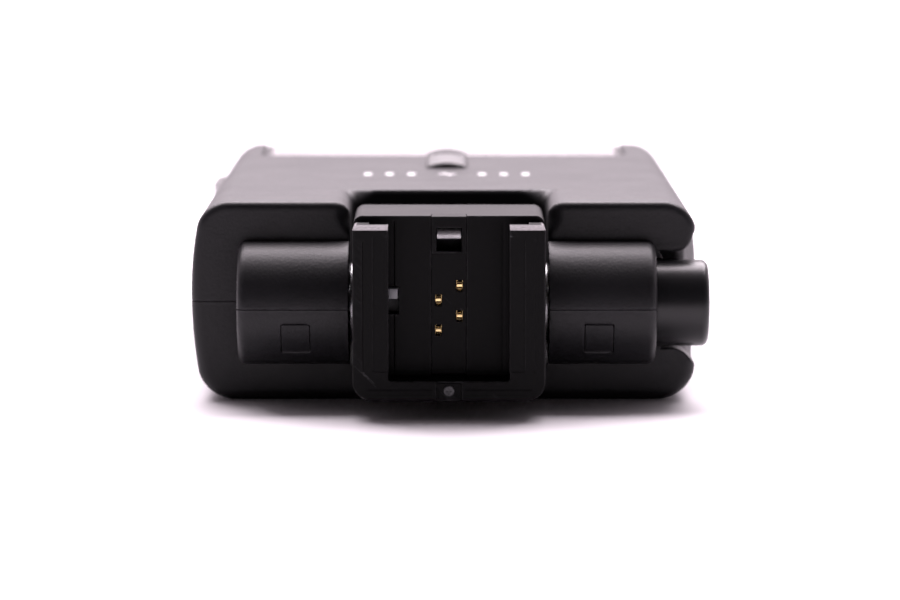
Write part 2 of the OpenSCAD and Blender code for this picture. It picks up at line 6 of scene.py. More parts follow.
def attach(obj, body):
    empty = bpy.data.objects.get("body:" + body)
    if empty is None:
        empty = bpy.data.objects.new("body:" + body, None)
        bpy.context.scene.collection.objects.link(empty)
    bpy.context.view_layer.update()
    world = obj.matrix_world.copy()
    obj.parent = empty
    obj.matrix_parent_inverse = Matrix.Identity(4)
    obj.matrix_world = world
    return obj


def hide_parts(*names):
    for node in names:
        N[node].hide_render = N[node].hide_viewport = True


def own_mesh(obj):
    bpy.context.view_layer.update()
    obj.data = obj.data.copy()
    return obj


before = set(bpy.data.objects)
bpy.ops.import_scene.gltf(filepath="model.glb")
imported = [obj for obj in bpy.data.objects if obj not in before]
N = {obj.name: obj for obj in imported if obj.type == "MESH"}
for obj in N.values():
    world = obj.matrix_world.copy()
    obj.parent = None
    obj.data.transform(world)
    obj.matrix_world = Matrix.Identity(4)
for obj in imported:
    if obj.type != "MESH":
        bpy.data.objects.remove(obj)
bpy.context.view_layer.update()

# ------------------------------------------------------------------ distance functions, millimetres
F = np.float32


def rI(a, b, r):
    """intersection with a rounded edge of radius r"""
    return np.minimum(np.maximum(a, b), -r) + np.sqrt(np.maximum(a + r, 0) ** 2 + np.maximum(b + r, 0) ** 2)


def rU(a, b, r):
    return -rI(-a, -b, r)


def rD(a, b, r):
    return rI(a, -b, r)


def mx(*a):
    out = a[0]
    for v in a[1:]:
        out = np.maximum(out, v)
    return out


def mn(*a):
    out = a[0]
    for v in a[1:]:
        out = np.minimum(out, v)
    return out


def sstep(a, b, v):
    t = np.clip((v - a) / (b - a), 0, 1)
    return t * t * (3 - 2 * t)


def box(x, y, z, x0, x1, y0, y1, z0, z1, r=0.0):
    qx = np.abs(x - (x0 + x1) / 2) - ((x1 - x0) / 2 - r)
    qy = np.abs(y - (y0 + y1) / 2) - ((y1 - y0) / 2 - r)
    qz = np.abs(z - (z0 + z1) / 2) - ((z1 - z0) / 2 - r)
    return (np.sqrt(np.maximum(qx, 0) ** 2 + np.maximum(qy, 0) ** 2 + np.maximum(qz, 0) ** 2)
            + np.minimum(mx(qx, qy, qz), 0) - r)


def slab(v, lo, hi):
    return np.abs(v - (lo + hi) / 2) - (hi - lo) / 2


def rod(a, b, ca, cb, R):
    return np.sqrt((a - ca) ** 2 + (b - cb) ** 2) - R


def rect2(a, b, a0, a1, b0, b1, r):
    qa = np.abs(a - (a0 + a1) / 2) - ((a1 - a0) / 2 - r)
    qb = np.abs(b - (b0 + b1) / 2) - ((b1 - b0) / 2 - r)
    return np.sqrt(np.maximum(qa, 0) ** 2 + np.maximum(qb, 0) ** 2) + np.minimum(np.maximum(qa, qb), 0) - r


# ------------------------------------------------------------------ dual contouring
def dual_contour(f, lo, hi, h, B=8):
    lo = np.array(lo, float) - 1.37 * h
    hi = np.array(hi, float) + 1.63 * h
    nb = np.ceil((hi - lo) / (h * B)).astype(int)
    n = nb * B
    bi = np.stack(np.meshgrid(*[np.arange(k) for k in nb], indexing="ij"), -1).reshape(-1, 3)
    c = (lo + (bi + 0.5) * B * h).astype(F)
    d = f(c[:, 0], c[:, 1], c[:, 2])
    act = np.abs(d) < 0.5 * math.sqrt(3) * B * h * 1.12 + 0.3 * h
    sgn = np.where(d < 0, -1.0, 1.0).astype(F).reshape(nb)
    V = np.ones(n + 1, F)
    V[:-1, :-1, :-1] = sgn.repeat(B, 0).repeat(B, 1).repeat(B, 2)
    loc = np.stack(np.meshgrid(*[np.arange(B + 1)] * 3, indexing="ij"), -1).reshape(-1, 3)
    ab = bi[act]
    step = max(1, 160000 // len(loc))
    for s in range(0, len(ab), step):
        idx = (ab[s:s + step, None, :] * B + loc[None]).reshape(-1, 3)
        p = (lo + idx * h).astype(F)
        V[idx[:, 0], idx[:, 1], idx[:, 2]] = f(p[:, 0], p[:, 1], p[:, 2])
    V[V == 0] = 1e-7
    inside = V < 0
    pts, nrm, cells, quads = [], [], [], []
    strides = np.array([(n[1] + 1) * (n[2] + 1), n[2] + 1, 1])
    base = 0
    for ax in range(3):
        a = [slice(None)] * 3
        b = [slice(None)] * 3
        a[ax] = slice(0, -1)
        b[ax] = slice(1, None)
        m = inside[tuple(a)] != inside[tuple(b)]
        # only edges with all four neighbours
        o1, o2 = (ax + 1) % 3, (ax + 2) % 3
        e = np.stack(np.nonzero(m), -1)
        e = e[(e[:, o1] > 0) & (e[:, o2] > 0) & (e[:, o1] < n[o1]) & (e[:, o2] < n[o2])]
        v0 = V[e[:, 0], e[:, 1], e[:, 2]]
        e2 = e.copy()
        e2[:, ax] += 1
        v1 = V[e2[:, 0], e2[:, 1], e2[:, 2]]
        p0 = lo + e * h
        ta, tb, fa, fb = np.zeros(len(e)), np.ones(len(e)), v0.astype(float), v1.astype(float)
        t = fa / (fa - fb)
        for _ in range(2):
            p = p0.copy()
            p[:, ax] += t * h
            pf = p.astype(F)
            fv = f(pf[:, 0], pf[:, 1], pf[:, 2]).astype(float)
            same = (fv < 0) == (fa < 0)
            ta = np.where(same, t, ta)
            fa = np.where(same, fv, fa)
            tb = np.where(same, tb, t)
            fb = np.where(same, fb, fv)
            den = fa - fb
            t = np.where(np.abs(den) > 1e-9, ta + (tb - ta) * fa / np.where(np.abs(den) > 1e-9, den, 1), 0.5 * (ta + tb))
        p = p0.copy()
        p[:, ax] += t * h
        g = grad(f, p, 0.02 * h / 0.3 + 0.004)
        pts.append(p)
        nrm.append(g)
        cs = []
        for d1, d2 in ((0, 0), (1, 0), (1, 1), (0, 1)):
            q = e.copy()
            q[:, o1] -= d1
            q[:, o2] -= d2
            cs.append(q @ strides)
        cs = np.stack(cs, -1)
        flip = v0 > 0
        quads.append(np.where(flip[:, None], cs[:, ::-1], cs))
        cells.append(cs)
    pts, nrm = np.concatenate(pts), np.concatenate(nrm)
    cells, quads = np.concatenate(cells), np.concatenate(quads)
    uniq, inv = np.unique(cells.ravel(), return_inverse=True)
    inv = inv.ravel()
    pid = np.repeat(np.arange(len(pts)), 4)
    k = len(uniq)
    cnt = np.bincount(inv, minlength=k).astype(float)
    mass = np.stack([np.bincount(inv, pts[pid, i], k) for i in range(3)], -1) / cnt[:, None]
    rel = pts[pid] - mass[inv]
    nn = nrm[pid]
    dd = (nn * rel).sum(-1)
    A = np.zeros((k, 3, 3))
    bb = np.zeros((k, 3))
    for i in range(3):
        bb[:, i] = np.bincount(inv, nn[:, i] * dd, k)
        for j in range(i, 3):
            A[:, i, j] = A[:, j, i] = np.bincount(inv, nn[:, i] * nn[:, j], k)
    w, E = np.linalg.eigh(A)
    keep = w > 0.06 * w[:, 2:3]
    wi = np.where(keep, 1 / np.where(keep, w, 1), 0)
    y = np.einsum("kij,ki->kj", E, bb) * wi
    x = np.einsum("kij,kj->ki", E, y)
    cell = np.stack([uniq // strides[0], (uniq // strides[1]) % (n[1] + 1), uniq % (n[2] + 1)], -1)
    c0 = lo + cell * h
    vert = np.clip(mass + x, c0 - 0.02 * h, c0 + 1.02 * h)
    lut = {}
    quad = np.searchsorted(uniq, quads)
    return vert, quad


def grad(f, p, e):
    k = np.array([[1, -1, -1], [-1, -1, 1], [-1, 1, -1], [1, 1, 1]], float)
    g = np.zeros_like(p)
    for s in k:
        q = (p + s * e).astype(F)
        g += s[None] * f(q[:, 0], q[:, 1], q[:, 2])[:, None]
    ln = np.linalg.norm(g, axis=1, keepdims=True)
    return g / np.maximum(ln, 1e-12)


def make_mesh(name, vert, quad, sharp=32.0):
    me = bpy.data.meshes.new(name)
    me.vertices.add(len(vert))
    me.vertices.foreach_set("co", (vert * 0.001).astype(np.float32).ravel())
    me.loops.add(quad.size)
    me.loops.foreach_set("vertex_index", quad.astype(np.int32).ravel())
    me.polygons.add(len(quad))
    me.polygons.foreach_set("loop_start", np.arange(0, quad.size, quad.shape[1], dtype=np.int32))
    me.polygons.foreach_set("loop_total", np.full(len(quad), quad.shape[1], np.int32))
    me.update(calc_edges=True)
    me.polygons.foreach_set("use_smooth", np.ones(len(quad), bool))
    if sharp:
        me.set_sharp_from_angle(angle=math.radians(sharp))
    me.update()
    ob = bpy.data.objects.new(name, me)
    bpy.context.scene.collection.objects.link(ob)
    return ob


def piece(name, f, lo, hi, h, body, nodes=(), mat=None, sharp=32.0):
    v, q = dual_contour(f, lo, hi, h)
    ob = make_mesh(name, v, q, sharp)
    if mat:
        ob.data.materials.append(mat)
    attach(ob, body)
    if nodes:
        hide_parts(*nodes)
    return ob


# ------------------------------------------------------------------ materials
class Nodes:
    def __init__(self, name):
        self.m = bpy.data.materials.new(name)
        self.m.use_nodes = True
        self.t = self.m.node_tree
        self.t.nodes.clear()
        self.out = self.new("ShaderNodeOutputMaterial")
        self.p = self.new("ShaderNodeBsdfPrincipled")
        self.link(self.p.outputs[0], self.out.inputs["Surface"])
        tc = self.new("ShaderNodeTexCoord")
        mp = self.new("ShaderNodeMapping")
        mp.inputs["Scale"].default_value = (1000, 1000, 1000)
        self.link(tc.outputs["Object"], mp.inputs["Vector"])
        self.co = mp.outputs[0]

    def new(self, t, **kw):
        n = self.t.nodes.new(t)
        for k, v in kw.items():
            setattr(n, k, v)
        return n

    def link(self, a, b):
        self.t.links.new(a, b)

    def noise(self, scale, detail=2.0, rough=0.5, co=None, stretch=None):
        n = self.new("ShaderNodeTexNoise")
        n.inputs["Scale"].default_value = scale
        n.inputs["Detail"].default_value = detail
        n.inputs["Roughness"].default_value = rough
        src = co or self.co
        if stretch:
            mp = self.new("ShaderNodeMapping")
            mp.inputs["Scale"].default_value = stretch
            self.link(src, mp.inputs["Vector"])
            src = mp.outputs[0]
        self.link(src, n.inputs["Vector"])
        return n.outputs["Fac"]

    def voronoi(self, scale, feature="F1"):
        n = self.new("ShaderNodeTexVoronoi", feature=feature)
        n.inputs["Scale"].default_value = scale
        self.link(self.co, n.inputs["Vector"])
        return n.outputs["Distance"]

    def ramp(self, fac, lo, hi, a=0.0, b=1.0):
        n = self.new("ShaderNodeMapRange")
        n.inputs["From Min"].default_value = lo
        n.inputs["From Max"].default_value = hi
        n.inputs["To Min"].default_value = a
        n.inputs["To Max"].default_value = b
        self.link(fac, n.inputs["Value"])
        return n.outputs["Result"]

    def math(self, op, a, b=None):
        n = self.new("ShaderNodeMath", operation=op)
        for i, v in enumerate((a, b)):
            if v is None:
                continue
            if hasattr(v, "links"):
                self.link(v, n.inputs[i])
            else:
                n.inputs[i].default_value = v
        return n.outputs[0]

    def mix(self, fac, a, b):
        n = self.new("ShaderNodeMix", data_type="RGBA")
        if hasattr(fac, "links"):
            self.link(fac, n.inputs[0])
        else:
            n.inputs[0].default_value = fac
        for i, v in ((6, a), (7, b)):
            if hasattr(v, "links"):
                self.link(v, n.inputs[i])
            else:
                n.inputs[i].default_value = (*v, 1)
        return n.outputs[2]

    def bump(self, h, dist, strength=1.0, normal=None):
        n = self.new("ShaderNodeBump")
        n.inputs["Distance"].default_value = dist
        n.inputs["Strength"].default_value = strength
        self.link(h, n.inputs["Height"])
        if normal is not None:
            self.link(normal, n.inputs["Normal"])
        return n.outputs[0]

    def set(self, **kw):
        for k, v in kw.items():
            i = self.p.inputs[k.replace("_", " ")]
            if hasattr(v, "links"):
                self.link(v, i)
            else:
                i.default_value = (*v, 1) if isinstance(v, tuple) and len(v) == 3 else v
        return self.m

    def height(self):
        # height as a share of the piece's own box
        tc = self.new("ShaderNodeTexCoord")
        sp = self.new("ShaderNodeSeparateXYZ")
        self.link(tc.outputs["Generated"], sp.inputs[0])
        return sp.outputs["Z"]

    def wear(self, lo=0.52, hi=0.62):
        g = self.new("ShaderNodeNewGeometry")
        return self.ramp(g.outputs["Pointiness"], lo, hi)


def plastic(name, base, light, rough=(0.42, 0.55), grain=0.0, grain_scale=4.0, spec=0.5, wear_col=None, wear_amt=0.5, coat=0.0, fine=True, painted_slope_highlight=None):
    s = Nodes(name)
    blotch = s.noise(0.09, 3, 0.6)
    speck = s.noise(3.1, 2, 0.6)
    col = s.mix(s.ramp(blotch, 0.35, 0.7), base, light)
    dust = s.ramp(s.voronoi(1.3), 0.035, 0.0, 0.0, 0.10)
    col = s.mix(dust, col, (0.35, 0.35, 0.37))
    if wear_col:
        w = s.math("MULTIPLY", s.wear(), s.ramp(s.noise(0.6, 4, 0.7), 0.35, 0.65, 0.0, wear_amt))
        col = s.mix(w, col, wear_col)
    if painted_slope_highlight:
        # painted highlight: upward-facing slopes near the top of the piece are coloured lighter, standing in for the
        # key light falling on them
        g = s.new("ShaderNodeNewGeometry")
        sp = s.new("ShaderNodeSeparateXYZ")
        s.link(g.outputs["Normal"], sp.inputs[0])
        up = s.math("MULTIPLY", s.ramp(sp.outputs["Z"], 0.6, 0.78), s.ramp(sp.outputs["Z"], 0.99, 0.93))
        k = s.math("MULTIPLY", s.math("MULTIPLY", up, s.ramp(s.height(), 0.955, 0.97)), s.ramp(s.noise(2.4, 3, 0.6, stretch=(1, 3, 3)), 0.3, 0.6, 0.6, 1.0))
        col = s.mix(k, col, painted_slope_highlight)
    r = s.ramp(s.math("ADD", s.math("MULTIPLY", blotch, 0.5), s.math("MULTIPLY", speck, 0.5)), 0.3, 0.7, rough[0], rough[1])
    nb = None
    if grain:
        h = s.math("ADD", s.noise(grain_scale, 3, 0.65), s.math("MULTIPLY", s.voronoi(grain_scale * 0.8), 0.7))
        nb = s.bump(h, grain * 0.001, 1.0)
    if fine:
        nb = s.bump(s.noise(0.35, 2, 0.5), 0.000015, 0.6, nb)
    s.set(Base_Color=col, Roughness=r, IOR=1.5)
    s.p.inputs["Specular IOR Level"].default_value = spec
    if coat:
        s.p.inputs["Coat Weight"].default_value = coat
        s.p.inputs["Coat Roughness"].default_value = 0.2
    if nb is not None:
        s.link(nb, s.p.inputs["Normal"])
    return s.m


def metal(name, base, light, rough=(0.2, 0.4), brush=None, scale=3.0, bump=0.004, scratch=0.0, painted_shade_below=None):
    s = Nodes(name)
    n1 = s.noise(scale, 3, 0.6, stretch=brush or (1, 1, 1))
    n2 = s.noise(0.5, 3, 0.6)
    col = s.mix(s.ramp(n1, 0.3, 0.7), base, light)
    tarn = s.ramp(n2, 0.55, 0.75, 0, 0.35)
    col = s.mix(tarn, col, tuple(c * 0.55 for c in base))
    h = n1
    if scratch:
        sc = s.ramp(s.noise(2.2, 1, 0.5, stretch=(0.25, 1, 6)), 0.6, 0.66, 0, scratch)
        h = s.math("SUBTRACT", n1, sc)
    met = 1.0
    # painted shade: below this share of the piece's height the steel is coloured near-black and non-metallic, standing
    # in for the shade it sits in
    if painted_shade_below:
        k = s.ramp(s.height(), painted_shade_below - 0.006, painted_shade_below + 0.006)
        col = s.mix(k, s.mix(n1, (0.004, 0.004, 0.0045), (0.008, 0.008, 0.0085)), col)
        met = k
        s.set(Specular_IOR_Level=0.12)
    s.set(Base_Color=col, Metallic=met, Roughness=s.ramp(n1, 0.3, 0.7, rough[0], rough[1]))
    s.link(s.bump(h, bump * 0.001, 1.0), s.p.inputs["Normal"])
    return s.m


def clear(name, tint, rough=0.06, ior=1.49, bump=0.0):
    s = Nodes(name)
    n = s.noise(0.3, 2, 0.5)
    s.set(Base_Color=s.mix(s.ramp(n, 0.4, 0.7), tint, tuple(min(1, c * 0.985) for c in tint)), Roughness=s.ramp(s.noise(1.5, 3, 0.6), 0.3, 0.7, rough * 0.6, rough * 1.3), IOR=ior)
    s.p.inputs["Transmission Weight"].default_value = 1.0
    s.link(s.bump(s.noise(2.0, 2, 0.5), 0.000004, 1.0), s.p.inputs["Normal"])
    return s.m


M = {}
M["casing"] = plastic("casing_black", (0.0088, 0.0088, 0.0101), (0.0118, 0.0118, 0.0135), (0.40, 0.52), grain=0.016, grain_scale=3.4, spec=0.28, wear_col=(0.09, 0.09, 0.1), wear_amt=0.35)
M["satin"] = plastic("satin_black", (0.0075, 0.0075, 0.0085), (0.0100, 0.0100, 0.0112), (0.27, 0.36), grain=0.002, grain_scale=6.0, spec=0.33, wear_col=(0.08, 0.08, 0.085), wear_amt=0.3)
M["foot"] = plastic("foot_black", (0.0024, 0.0024, 0.0026), (0.0036, 0.0036, 0.0039), (0.42, 0.52), grain=0.0022, grain_scale=5.0, spec=0.10, wear_col=(0.11, 0.11, 0.115), wear_amt=0.55)
# rail colour carries a painted highlight on its upward-facing top slopes
M["rail"] = plastic("rail_black", (0.0024, 0.0024, 0.0026), (0.0036, 0.0036, 0.0039), (0.42, 0.52), grain=0.0022, grain_scale=5.0, spec=0.10, wear_col=(0.11, 0.11, 0.115), wear_amt=0.55, painted_slope_highlight=(0.27, 0.255, 0.265))
M["frame"] = plastic("frame_plastic", (0.016, 0.016, 0.017), (0.022, 0.022, 0.024), (0.4, 0.55), grain=0.008, grain_scale=4.0)
M["lever"] = plastic("lever_plastic", (0.055, 0.053, 0.055), (0.068, 0.066, 0.068), (0.36, 0.46), grain=0.001, grain_scale=6.0, spec=0.3, wear_col=(0.12, 0.12, 0.12), wear_amt=0.4)
M["chip"] = plastic("chip_black", (0.018, 0.018, 0.019), (0.026, 0.026, 0.027), (0.45, 0.6), grain=0.006)
M["cable"] = plastic("cable_jacket", (0.02, 0.02, 0.021), (0.03, 0.03, 0.031), (0.5, 0.65), grain=0.004)
M["pcb"] = plastic("pcb_green", (0.008, 0.07, 0.025), (0.012, 0.1, 0.036), (0.25, 0.4), grain=0.003)
M["cell"] = plastic("cell_sleeve", (0.16, 0.165, 0.175), (0.21, 0.215, 0.225), (0.25, 0.35), grain=0.001)
M["cap"] = plastic("cap_sleeve", (0.012, 0.014, 0.035), (0.018, 0.02, 0.05), (0.3, 0.42), grain=0.002)
M["coil"] = plastic("coil_tape", (0.2, 0.1, 0.02), (0.28, 0.14, 0.03), (0.35, 0.5), grain=0.01, grain_scale=2.0)
M["sleeve"] = plastic("silicone", (0.5, 0.5, 0.48), (0.6, 0.6, 0.57), (0.5, 0.6), grain=0.003)
M["pin"] = plastic("pin_grey", (0.24, 0.245, 0.26), (0.32, 0.325, 0.34), (0.35, 0.5), grain=0.002, grain_scale=7.0)
M["lamp"] = plastic("lamp_amber", (0.4, 0.14, 0.02), (0.5, 0.2, 0.03), (0.2, 0.3), grain=0.001)
M["lamp"].node_tree.nodes["Principled BSDF"].inputs["Transmission Weight"].default_value = 0.5
M["print"] = plastic("print_white", (0.62, 0.62, 0.62), (0.72, 0.72, 0.72), (0.4, 0.5), grain=0.001)
M["steel"] = metal("plated_steel", (0.55, 0.55, 0.56), (0.68, 0.68, 0.69), (0.22, 0.38), brush=(1, 1, 6))
# the tooth's lower part is coloured near-black as painted shade
M["tooth"] = metal("tooth_steel", (0.42, 0.42, 0.43), (0.75, 0.75, 0.76), (0.28, 0.5), brush=(0.5, 1, 5), scale=4, bump=0.012, scratch=0.5, painted_shade_below=0.898)
M["spring"] = metal("spring_wire", (0.45, 0.45, 0.46), (0.6, 0.6, 0.61), (0.2, 0.35))
M["screw"] = metal("screw_black", (0.05, 0.05, 0.052), (0.09, 0.09, 0.092), (0.3, 0.45), bump=0.003)
M["gold"] = metal("contact_gold", (0.83, 0.60, 0.25), (0.95, 0.73, 0.38), (0.14, 0.28), scale=5, bump=0.003)
M["foil"] = metal("reflector_foil", (0.85, 0.85, 0.86), (0.93, 0.93, 0.94), (0.06, 0.14), bump=0.002)
M["window"] = clear("window_clear", (0.96, 0.97, 0.98), 0.05)
M["tube"] = clear("tube_glass", (0.95, 0.97, 0.98), 0.02, 1.46)

# ------------------------------------------------------------------ the casing
BX, HW, TOP, BACK, FY, FAR, HY = -0.35, 30.85, 12.1, 12.0, 11.4, 108.5, 10.5
WALL = 1.8
HX0, HX1, HY0 = -25.7, 24.2, 77.9
TY, TZ = 100.8, 8.6
GAP = 11.95


def outer(x, y, z, d=0.0):
    X = np.abs(x - BX)
    side = X - (HW - d) + (z - 1) ** 2 / np.where(z < 1, 115, 90)
    top = z - (TOP - d)
    bot = -(BACK - d) - z
    front = (FY + d) - y
    far = y - (FAR - d) + 0.0012 * X * X
    sec = mx(rI(side, top, max(3.2 - d, 0.4)), rI(side, bot, max(3.6 - d, 0.5)))
    wt = sstep(-4.0, -0.5, top - mx(side, bot))
    wb = sstep(-4.0, -0.5, bot - mx(side, top))
    rf = np.maximum(1.2 - 0.3 * wt + 0.1 * wb - d, 0.35)
    rr = np.maximum(6.0 + 5.0 * wt - 1.0 * wb - d, 0.5)
    return rI(rI(sec, front, rf), far, rr)


def barrel(x, y, z, R=7.4):
    c = rod(y, z, HY, 0, R)
    return rI(c, slab(x, -25.3, 24.8), 0.95)


def notch(x, y, z):
    sx = np.abs(x) - GAP
    slope = ((y - 22.7) * 15.5 - (z + 3.4) * 4.3) / 16.09
    deep = rI(slope, -3.4 - z, 1.2)
    return sx, mn(y - 10.7, deep)


def scoop(x, y, z):
    zt = rU(z - 6.1, (z - 6.2 - (x - 28.6) * 2.0) * 0.447, 1.0)
    zb = rU(-5.65 - z, (-5.65 - z - (x - 28.0) * 1.06) * 0.69, 0.8)
    ys = rU(y - 16.4, (y - 16.9 - (x - 28.6) * 2.8) * 0.336, 0.9)
    return rI(rI(rI(zt, zb, 0.3), ys, 0.9), 24.8 - x, 0.3)


def shell(x, y, z):
    body = outer(x, y, z)
    b = rU(body, barrel(x, y, z), 0.15)
    # scoop round the button leaves the barrel whole
    sc = np.maximum(scoop(x, y, z), -(rod(y, z, HY, 0, 7.4)) * 1.0 - np.maximum(x - 24.8, 0) * 2)
    b = rD(b, sc, 0.35)
    sx, deep = notch(x, y, z)
    nt = rI(sx, deep, 0.6)
    nt = mn(nt, np.maximum(rod(y, z, HY, 0, 7.7), np.abs(x) - GAP))
    b = rD(b, nt, 0.2 + sstep(7.5, 10.5, z) * (0.25 + 1.5 * sstep(-3.0, -0.5, sx - deep)))
    inn = np.maximum(outer(x, y, z, WALL), mn(29.2 - y, box(x, y, z, -40, -15.2, 20, 31, -20, 20), box(x, y, z, 15.2, 25.2, 22.5, 31, -20, 20)))
    posts = mn(rod(x, y, -17.8, 26, 2.5), rod(x, y, 17.8, 26, 2.5), rod(x, y, -23, 74.6, 2.4), rod(x, y, 21.8, 74.6, 2.4))
    inn = np.maximum(inn, -posts)
    ears = mn(box(x, y, z, -26.9, -25.72, 97.6, 103.8, 5, 14), box(x, y, z, 24.22, 25.4, 97.6, 103.8, 5, 14))
    inn = np.maximum(inn, -ears)
    s = np.maximum(b, -inn)
    # bores of the hinge, the button and the cable
    bore = mn(np.maximum(rod(y, z, HY, 0, 2.04), slab(np.abs(x), 10.0, 20.4)),
              np.maximum(rod(y, z, HY, 0, 5.33), 16.8 - x))
    s = rD(s, bore, 0.12)
    # pockets of the flush plugs
    for px in (-20.0, 16.2):
        s = np.maximum(s, -box(x, y, z, px - 0.07, px + 3.47, -5, HY - 4.98, -6.67, -1.73, 0.3))
    # screw holes
    hole = 1e3
    for cx, cy in ((-17.8, 26), (17.8, 26), (-23, 74.6), (21.8, 74.6)):
        r = np.sqrt((x - cx) ** 2 + (y - cy) ** 2)
        hole = mn(hole, mx(r - 0.95, z - 7), mx(r - 2.05, z + BACK - 1.3))
    hole = mn(hole, mx(rod(x, y, 0, 90, 2.6), z + 9))
    s = rD(s, hole, 0.2)
    # battery door, head opening, zoom slot, selector pocket
    door = box(x, y, z, -40, BX - HW + 5, 30.6, 55.6, -10.4, 2.35, 0.3)
    s = rD(s, door, 0.12)
    s = np.maximum(s, -mx(rod(x, z, BX - HW + 1.0, 1.2, 0.5), slab(y, 29.0, 57.2)))
    head = box(x, y, z, HX0, HX1, HY0, 104.5, 0, 30, 0.8)
    s = rD(s, head, 0.35)
    s = np.maximum(s, -box(x, y, z, -1.3, 0.7, 58.8, 67, 9, 20, 0.3))
    s = rD(s, box(x, y, z, -40, BX - HW + 1.1, 64.9, 90.4, 2.7, 8.5, 0.35), 0.15)
    s = np.maximum(s, -box(x, y, z, -40, -28, 76.1, 86.4, 4.75, 6.85, 0.2))
    s = np.maximum(s, -mx(rod(y, z, TY, TZ, 0.95), slab(x, HX0 - 3, HX1 + 3)))
    return s


H_CASE = 0.36
piece("front_casing_skin", lambda x, y, z: rI(shell(x, y, z), 0.05 - z, 0.1), (-31.3, 3.0, 0), (30.6, FAR, TOP), H_CASE, "casing", ["front_casing"], M["casing"])
piece("rear_casing_skin", lambda x, y, z: rI(shell(x, y, z), z + 0.05, 0.1), (-31.3, 3.0, -12), (30.6, FAR, 0), H_CASE, "casing", ["rear_casing"], M["casing"])


def door_f(x, y, z):
    sk = np.maximum(outer(x, y, z), -outer(x, y, z, 1.7))
    reg = box(x, y, z, -40, BX - HW + 5, 30.75, 55.45, -10.25, 1.2, 0.25)
    k = np.maximum(rod(x, z, BX - HW + 1.0, 1.2, 0.93), slab(y, 30.75, 55.45))
    d = rI(sk, mn(reg, k), 0.12)
    # thumb groove and grip lines
    for i in range(4):
        d = rD(d, rod(x, z, BX - HW - 0.35 + 0.04 * i, -4.4 - 1.3 * i, 0.62) + np.maximum(np.abs(y - 43.1) - 5.5, 0), 0.15)
    ribs = mn(box(x, y, z, -32, -28.5, 36, 38, -5.6, -2.6), box(x, y, z, -32, -28.5, 48, 50, -5.6, -2.6))
    d = mn(d, np.maximum(ribs, outer(x, y, z, 0.6)))
    return np.maximum(d, -rod(x, z, BX - HW + 1.0, 1.2, 0.55))


piece("battery_door_skin", door_f, (-31.3, 30.5, -10.6), (-25.3, 55.7, 2.4), 0.2, "door", ["battery_door"], M["casing"])


def plug_f(x, y, z):
    d = 1e3
    for px in (-20.0, 16.2):
        d = mn(d, box(x, y, z, px + 0.03, px + 3.37, HY - 9, HY - 5.05, -6.57, -1.83, 0.25))
    return rI(d, rod(y, z, HY, 0, 7.385), 0.08)


piece("knuckle_plugs_skin", plug_f, (-20.2, 2.9, -6.8), (19.8, 6.2, -1.6), 0.13, "casing", ["knuckle_plugs"], M["casing"])


# ------------------------------------------------------------------ release button
def button_f(x, y, z):
    r = np.sqrt((y - HY) ** 2 + z ** 2)
    end = x - 31.4 + 0.012 * r * r
    b = rI(rI(r - 5.2, end, 0.75), 19.7 - x, 0.1)
    return np.maximum(b, -mx(r - 4.2, x - 29.2))


piece("release_button_skin", button_f, (19.6, 5.2, -5.3), (31.5, 15.8, 5.3), 0.2, "release", ["release_button"], M["satin"])


# ------------------------------------------------------------------ tilting head
HR = math.sqrt((TY - 78.3) ** 2 + 3.3 ** 2)


def head_solid(x, y, z):
    sec = rod(y, z, TY, TZ, HR)
    hub = rod(y, z, TY, TZ, 3.3)
    sec = mx(sec, z - (TZ + 3.3), -1.7 - z)
    nx, nz = 10.3, -0.6
    plane = ((y - 101.4) * 10.3 + (z + 1.7) * 0.6 * 1.0) / 10.32
    sec = mx(sec, plane)
    s = rI(mn(sec, hub), outer(x, y, z, 0.2), 0.3)
    return rI(s, slab(x, HX0 + 0.25, HX1 - 0.25), 0.3)


def head_f(x, y, z):
    s = head_solid(x, y, z)
    s = rD(s, box(x, y, z, HX0 + 1.5, HX1 - 1.5, 81.6, 100.2, -0.5, 10.5, 0.3), 0.15)
    s = rD(s, box(x, y, z, HX0 + 0.9, HX1 - 0.9, 79.6, 101.0, 10.35, 20, 0.5), 0.15)
    s = mn(s, mx(rod(y, z, 93, 4, 0.7), slab(x, -27.7, HX0 + 1)))
    for a, b in ((HX0 - 1, HX0 + 1.2), (HX1 - 1.2, HX1 + 1)):
        s = np.maximum(s, -mx(rod(y, z, TY, TZ, 0.9), slab(x, a, b)))
    return s


piece("head_frame_skin", head_f, (-27.8, 78, -1.8), (24.1, 104.2, 12), 0.3, "head", ["head_frame"], M["satin"])


def window_f(x, y, z):
    b = box(x, y, z, HX0 + 0.98, HX1 - 0.98, 79.68, 100.92, 10.4, TZ + 3.3, 0.45)
    b = np.maximum(b, outer(x, y, z, 0.2))
    pitch = 1.2
    u = np.abs(((x - BX) / pitch) % 1.0 - 0.5) * 2
    rib = (z - 10.78 + 0.34 * u) * 0.87
    inner = mx(-rib, 0)
    cut = np.maximum(rib, rect2(x, y, HX0 + 1.9, HX1 - 1.9, 80.8, 99.9, 0.5))
    return np.maximum(b, -cut)


piece("flash_window_skin", window_f, (-24.9, 79.5, 10.2), (23.4, 101.1, 12), 0.22, "head", ["flash_window"], M["window"], sharp=28)


